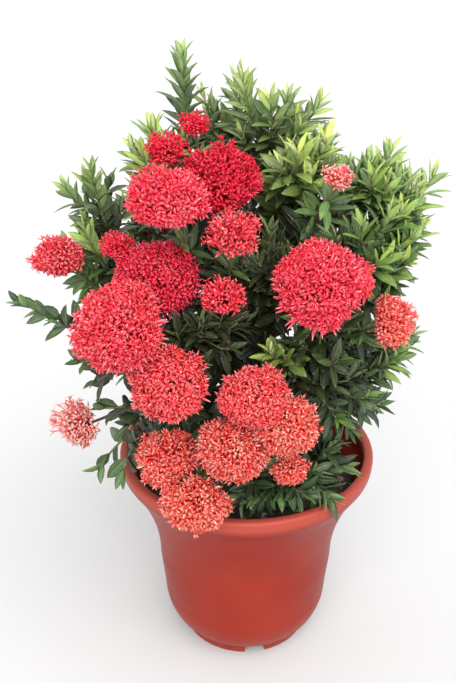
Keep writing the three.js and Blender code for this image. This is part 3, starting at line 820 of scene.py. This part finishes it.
def dome_spots(count, axis, reach):
    """Directions spread evenly over a dome about `axis` as the seeds of a sunflower are, by
    the golden angle, down to the polar angle `reach`; and their polar angles."""
    share = (np.arange(count) + 0.5) / count
    polar = np.arccos(1 - share * (1 - math.cos(reach))) + rng.normal(0, 0.05, count)
    turn = np.arange(count) * GOLDEN_ANGLE + rng.normal(0, 0.12, count)
    flat = circle_ways(*across_frame(axis[None]), turn)
    return circle_ways(axis, flat, polar), polar


def head_reach(item, way):
    """How far a head reaches in each direction, as a share of its radius: less underneath,
    and about a third in its dent, which falls off as a flat-bottomed bell."""
    share = 1 - item["flat"] * np.clip(-way[:, 2] * 1.3, 0, 1)
    if item["dent"]:
        turn = np.arccos(np.clip(way @ unit(np.array(item["dent"], float)), -1, 1))
        share *= 1 - 0.65 * np.exp(-((turn * item["radius"] / DENT_WIDTH) ** 4))
    return share


def floret_places(item, axis, count):
    """Directions and middles of a head's florets, which of them are further in, how high the
    lumps are there, and the head's reach there.

    The florets lie on a dome with random low lumps, each a bell curve of the angle from its
    middle. Towards the stalk the dome draws in.
    """
    loose = item["loose"]
    way, polar = dome_spots(count, axis, FLORET_DOME)
    lumps, _ = dome_spots(LUMPS, axis, LUMP_DOME)
    lumps = unit(lumps + rng.normal(0, 0.22, lumps.shape))
    height = rng.uniform(0.3, 1.0, LUMPS) * (0.25 + 0.22 * loose)
    away = np.arccos(np.clip(way @ lumps.T, -1, 1))
    raised = (np.exp(-((away / LUMP_WIDTH) ** 2)) * height).max(1)
    inner = rng.uniform(0, 1, count) < INNER_SHARE
    lowest = np.where(inner, 0.72, 0.9) - 0.16 * loose
    share = lowest + rng.uniform(0, 0.12 + 0.16 * loose, count)
    share += raised - 0.07
    reached = head_reach(item, way)
    share *= reached
    drawn_in = 1 - 0.25 * np.clip((polar - 1.4) / 0.7, 0, 1)
    out = way * (item["radius"] * share * drawn_in)[:, None] * HEAD_STRETCH
    return way, item["at"] + out, inner, raised, reached


def floret_values(skins):
    """The petal material's values for each point of a head's skins, given with their colour
    along the floret, their painted shade and how many stacks make one floret. A floret's
    foot gets a little more painted shade, and each floret has a tint of its own."""
    tip, depth_shade, tint = [], [], []
    for rings, colour, shade, stacks_each in skins:
        stacks, _, corners = rings.shape[:3]
        # painted shade: a little more at each floret's foot
        shade = np.repeat(shade, stacks_each)[:, None] + np.where(colour < 0.15, 0.1, 0.0)
        own_tint = np.repeat(rng.normal(0, 0.14, stacks // stacks_each), stacks_each)
        tip.append(np.tile(np.repeat(colour, corners), stacks))
        depth_shade.append(np.repeat(np.clip(shade, 0, 0.9), corners))
        tint.append(np.repeat(own_tint, len(colour) * corners))
    return {"tip": np.concatenate(tip), "depth_shade": np.concatenate(depth_shade),
            "tint": np.concatenate(tint)}


def make_head(item):
    """An umbel: florets, some of them half open, on long thin tubes that spread from the
    stalk's end, and spiky buds among them."""
    centre, radius, loose = item["at"], item["radius"], item["loose"]
    axis = head_direction(centre)
    area = 2 * math.pi * radius ** 2 * 1.45  # a dome's that reaches below its middle
    count = max(16, int(area * FLORETS_PER_MM2 * (1 - 0.6 * loose)))
    way, spot, inner, raised, reached = floret_places(item, axis, count)
    normal = unit(way + rng.normal(0, 0.3, (count, 3)))
    size = np.where(inner, rng.uniform(1.0, 1.25, count), rng.uniform(0.84, 1.1, count))
    size *= min(1.0, 0.55 + radius / 50)
    half_open = rng.uniform(0, 1, count) < HALF_OPEN_SHARE
    rise = np.where(half_open, rng.uniform(0.7, 1.15, count), rng.uniform(-0.1, 0.5, count))
    spin, recurve = rng.uniform(0, np.pi, count), rng.uniform(0.0, 0.25, count)
    blades = petals(spot, normal, spin, size, rise, recurve)
    root = centre - axis * (0.25 * radius)
    tubes = spindles(root + (spot - root) * 0.15, spot, TUBE_RADII, 3)
    bud_count = max(4, int(count * (0.12 + 0.12 * loose)))
    bud_way, _ = dome_spots(bud_count, axis, BUD_DOME)
    bud_reach = radius * rng.uniform(0.96, 1.12, bud_count) * head_reach(item, bud_way)
    bud_tip = centre + bud_way * bud_reach[:, None] * HEAD_STRETCH
    buds = spindles(root + (bud_tip - root) * 0.4, bud_tip, BUD_RADII, 4)

    # painted shade: darker red for florets further in, in the hollows between lumps, over a head
    # that lies in shade, where it is dented or flat underneath, and more on the tubes
    shade = np.where(inner, 0.25, 0.0) + np.clip((0.1 - raised) * 1.6, 0, 0.16) + item["head_shade"]
    shade += 0.7 * (1 - reached)
    bud_shade = np.full(bud_count, 0.05 + item["head_shade"])
    values = floret_values([(blades[:, :, None], PETAL_ALONG, shade, PETALS),
                            (tubes, TUBE_COLOUR, shade + 0.2, 1),
                            (buds, BUD_COLOUR, bud_shade, 1)])
    starts = np.arange(len(blades))[:, None, None] * len(PETAL_ALONG)
    kites = (starts + PETAL_FACES).reshape(-1, 3)
    points, faces = joined([(blades.reshape(-1, 3), [kites]), skin(tubes), skin(buds)])
    for name in ("salmon", "pale"):
        values[name] = np.full(len(points), float(item[name]))
    make_piece("florets_" + item["name"], points, faces, PETAL,
               "petals_salmon" if item["salmon"] >= 0.5 else "petals_red",
               ["flower_head_" + item["name"]], values)


# ---- the plant ----

def stem_curve(base, tip):
    """A stem rises almost straight from the soil and then leans out to its tip."""
    base, tip = np.array([*base, SOCKET_FLOOR], float), np.array(tip, float)
    rise = tip[2] - SOCKET_FLOOR
    lower = np.array([base[0] * 1.25, base[1] * 1.25, SOCKET_FLOOR + 0.45 * rise])
    upper = base + 0.55 * (tip - base)
    upper[2] = SOCKET_FLOOR + 0.75 * rise
    return np.array([base, lower, upper, tip])


def twig_curve(carrier, share, tip, end):
    """A twig leaves its carrier partly along it and partly towards its own tip, and bends so
    that its last stretch points along `end`."""
    start = point(carrier, share)[0]
    reach = tip - start
    length = np.linalg.norm(reach)
    leave = unit(0.45 * tangent(carrier, share)[0] + reach / length)
    return np.array([start, start + leave * (0.35 * length), tip - end * (0.3 * length), tip])


def spikes(curve, item, looks):
    """Short side twigs in opposite pairs that turn up into leafy spikes, and their leaves.
    On a shoot with little upward pull they stay level or hang."""
    curves, leaves, lift = [], [], item["lift"]
    wide, closes = SPIKE_OPENING
    for order, share in enumerate(item["spikes"]):
        start, axis = point(curve, share)[0], tangent(curve, share)[0]
        side = turned(unit(np.cross(axis, SIDEWAYS)), axis, np.array(order * 1.57 + 0.8))
        for hand in (1, -1):
            way = unit(axis * 0.7 + side * hand * 0.7 + UP * 0.6 * lift)
            reach = SPIKE_LENGTH * (1.12 - 0.45 * share) * rng.uniform(0.65, 1.3)
            tip = start + way * reach
            end = unit(way + 1.3 * lift * UP)
            curves.append(np.array([start, start + way * reach * 0.4, tip - end * reach * 0.4,
                                    tip]))
            leaves.append(leaf_pairs(
                curves[-1], item["leaf"] * 0.88, spacing=SPIKE_SPACING, first=0.2,
                phase=rng.uniform(0, 3.1), wide=wide - closes * lift, **looks))
    return curves, leaves


def make_flower(stem, share, item):
    """A head on its stalk, which leaves the stem at that share. Gives the stalk's leaves."""
    stalk = twig_curve(stem, share, item["at"], head_direction(item["at"]))
    make_piece("stalk_" + item["name"], *tube(stalk, STALK_RADII, 20, 6), STALK_SKIN, "bark")
    leaves = leaf_pairs(stalk, last=item["leafy"], **STALK_LEAVES)
    make_head(item)
    return leaves


def make_shoot(stem, share, item):
    """A leading twig, which leaves the stem at that share, its forks and all their spikes:
    one piece of wood and one of leaves."""
    curves, leaves, lift = [], [], item["lift"]
    looks = {name: item[name] for name in ("young", "shade", "broad")}
    wide, closes = TWIG_OPENING
    for fork, tip in enumerate(item["tips"]):
        carrier, start = (curves[0], FORKS_AT[fork - 1]) if fork else (stem, share)
        end = unit(unit(tip - point(carrier, start)[0]) + lift * UP)
        curves.append(twig_curve(carrier, start, tip, end))
        leaves.append(leaf_pairs(curves[-1], item["leaf"], spacing=item["gap"],
                                 phase=0.8 * fork, wide=wide - closes * lift, **looks))
    wood = [tube(curve, TWIG_RADII, 12, 6) for curve in curves]
    for curve in curves:
        side_curves, side_leaves = spikes(curve, item, looks)
        wood += [tube(side, SPIKE_RADII, 5, 4) for side in side_curves]
        leaves += side_leaves
    make_piece("twigs_" + item["name"], *joined(wood), TWIG_BARK, "bark")
    make_leaves("leaves_" + item["name"], leaves, ["leafy_shoot_" + item["name"]])


def make_plant():
    """Every stem with what it carries, in the same order as along the stem."""
    for stem_name, base, tip, growth in STEMS:
        stem = stem_curve(base, tip)
        make_piece("stem_" + stem_name, *tube(stem, STEM_RADII, 60, 10, KNOT_HEIGHT),
                   STEM_BARK, "bark", ["main_stem_" + stem_name])
        leaves = [leaf_pairs(stem, **STEM_LEAVES)]
        for order, item in enumerate(growth):
            rank = order / (len(growth) - 1)
            share = FIRST_SIDE_BRANCH + (LAST_SIDE_BRANCH - FIRST_SIDE_BRANCH) * rank
            if item["kind"] == "head":
                leaves.append(make_flower(stem, share, item))
            else:
                make_shoot(stem, share, item)
        make_leaves("stem_leaves_" + stem_name, leaves)


make_pot()
make_soil()
make_plant()


# ---- studio ----

CAMERA_PLACE = (0.0, -0.830, 0.762)  # m
CAMERA_DOWN = 27.6  # degrees below the horizon
CAMERA_LEFT = 1.25  # degrees
LENS = 52.7  # mm on a 36 mm sensor
FLOOR_EDGE = 9  # m from the middle
# Each light: name, strength, width in degrees, turn in degrees.
LIGHTS = (("key", 2.35, 50, (40, 0, 30)), ("fill", 2.9, 60, (64, 0, -8)))


def make_studio():
    """A pale floor, a sky of soft light that is half as bright again overhead, a broad key
    light, a broad fill light and the camera."""
    corners = [(-1, -1), (1, -1), (1, 1), (-1, 1)]
    mesh = bpy.data.meshes.new("studio_floor")
    mesh.from_pydata([(x * FLOOR_EDGE, y * FLOOR_EDGE, 0) for x, y in corners], [],
                     [(0, 1, 2, 3)])
    mesh.materials.append(new_material("studio_floor", emulsion))
    in_scene("studio_floor", mesh)

    world = bpy.data.worlds.new("studio")
    world.use_nodes = True
    world.node_tree.nodes.clear()
    add = functools.partial(node, world.node_tree)
    height = add("SeparateXYZ", Vector=add("TexCoord").outputs["Generated"]).outputs["Z"]
    bright = add("MapRange", Value=height, From_Max=0.8, To_Min=1.0, To_Max=1.55)
    add("OutputWorld", Surface=add("Background", Color="#ffffff", Strength=bright))
    bpy.context.scene.world = world

    for name, strength, width, turn in LIGHTS:
        light = bpy.data.lights.new(name, "SUN")
        light.energy = strength
        light.angle = math.radians(width)
        in_scene(name, light).rotation_euler = [math.radians(a) for a in turn]

    camera = in_scene("camera", bpy.data.cameras.new("camera"))
    camera.data.lens = LENS
    camera.location = CAMERA_PLACE
    camera.rotation_euler = (math.radians(90 - CAMERA_DOWN), 0, math.radians(CAMERA_LEFT))
    bpy.context.scene.camera = camera
    bpy.context.scene.view_settings.view_transform = "Standard"


make_studio()
